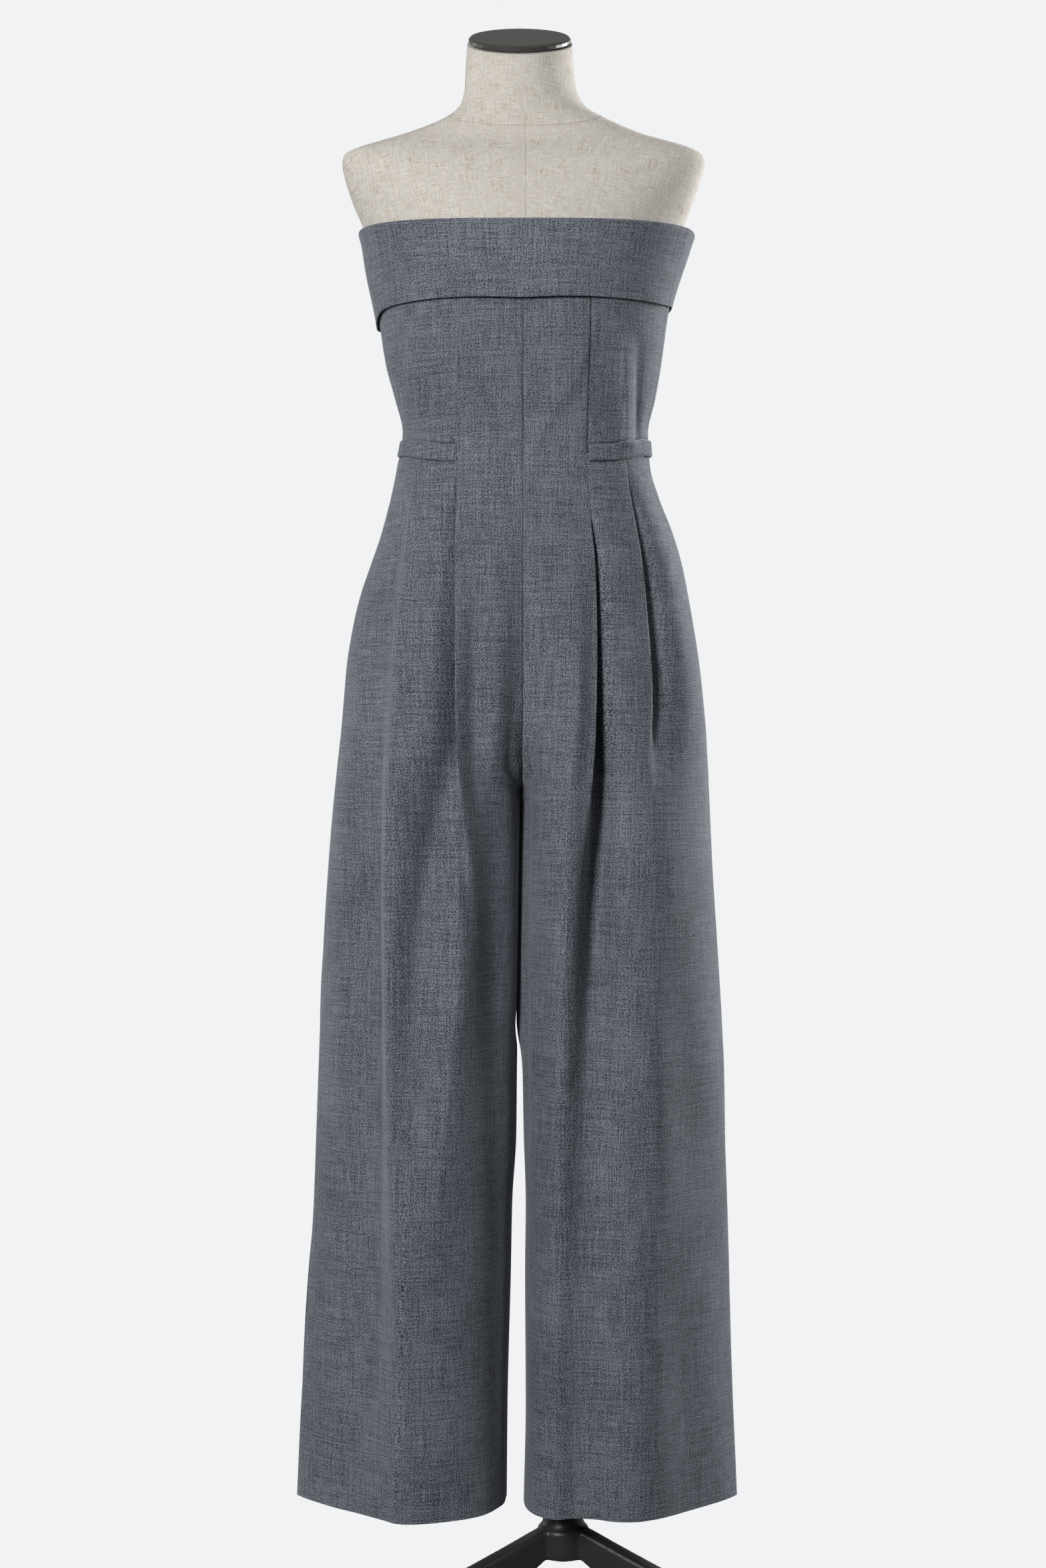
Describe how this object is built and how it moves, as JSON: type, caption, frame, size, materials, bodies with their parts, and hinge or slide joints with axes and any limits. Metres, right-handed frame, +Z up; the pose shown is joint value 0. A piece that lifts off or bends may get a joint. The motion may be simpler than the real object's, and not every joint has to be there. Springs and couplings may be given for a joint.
{
  "type": "jumpsuit on dress form",
  "caption": "Strapless wide-leg jumpsuit with fold-over cuff, princess seams, waist welts and pleats, on a limbless dress form with a capped neck and tripod pole stand.",
  "frame": {"origin": "on the floor, under the middle of the whole object's box", "axes": "+Z up along the pole, -Y out of the garment's front, +X to the right as seen from the front"},
  "size_m": [0.5092, 0.4006, 1.6821],
  "materials": {
    "suiting": "matte blue-grey melange suiting",
    "linen": "plain-weave natural linen stretched over the form",
    "cap": "satin black with a dull top",
    "iron": "black paint, satin, slightly uneven"
  },
  "bodies": {
    "root": {"front_left": "suiting", "front_right": "suiting", "side_front_left": "suiting", "side_front_right": "suiting", "back_left": "suiting", "back_right": "suiting", "welt_left": "suiting", "welt_right": "suiting", "cuff_front": "suiting", "cuff_back": "suiting", "form_torso": "linen", "neck_cap": "cap", "pole": "iron", "base": "iron"}
  },
  "joints": []
}
